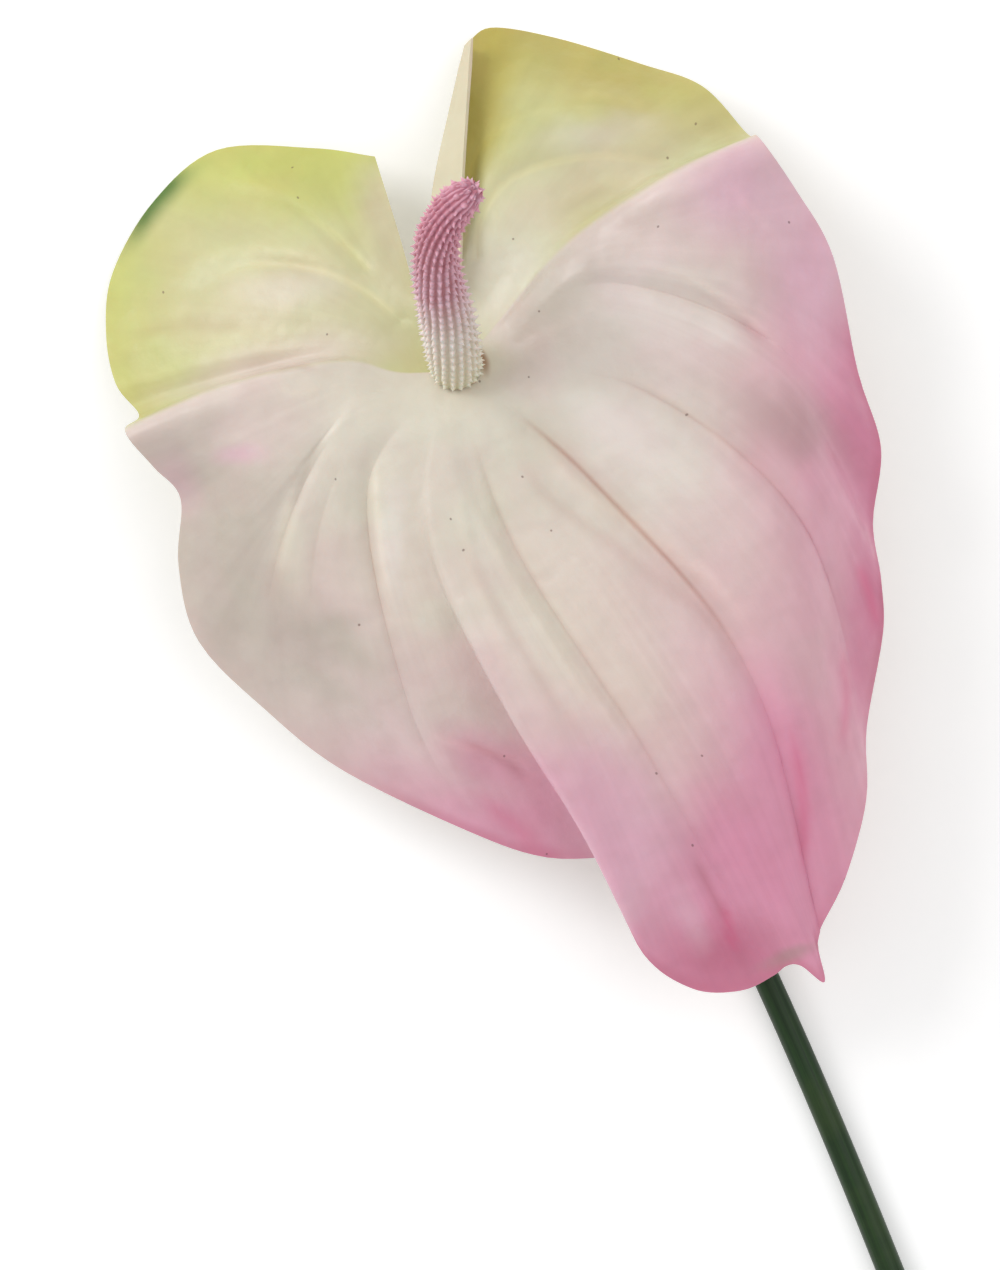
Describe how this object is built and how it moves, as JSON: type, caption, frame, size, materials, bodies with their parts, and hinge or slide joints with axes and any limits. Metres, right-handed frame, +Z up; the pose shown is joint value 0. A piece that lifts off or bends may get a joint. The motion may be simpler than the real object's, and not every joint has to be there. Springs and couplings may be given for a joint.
{
  "type": "cut anthurium stem",
  "caption": "Cut anthurium lying face up: heart-shaped waxy spathe with folded lobes and pressed-in veins, bent floret-covered spadix, and a slender round stem.",
  "frame": {"origin": "centre of the bounding box's base, on the surface that the flower lies on", "axes": "+Z up from the surface, out of the spathe's face; -Y along the stem towards its cut end, +Y towards the two lobes; +X across the spathe"},
  "size_m": [0.1482, 0.4792, 0.0823],
  "materials": {
    "spathe": "smooth waxy satin, cream in the middle, pink outside, yellow-green on the two lobes",
    "spadix": "matt to satin, cream at the base, pink towards the tip, covered with small pointed florets",
    "stem": "smooth satin dark green, pale where it is cut"
  },
  "bodies": {
    "root": {"spathe": "spathe", "spadix": "spadix", "stem": "stem"}
  },
  "joints": []
}
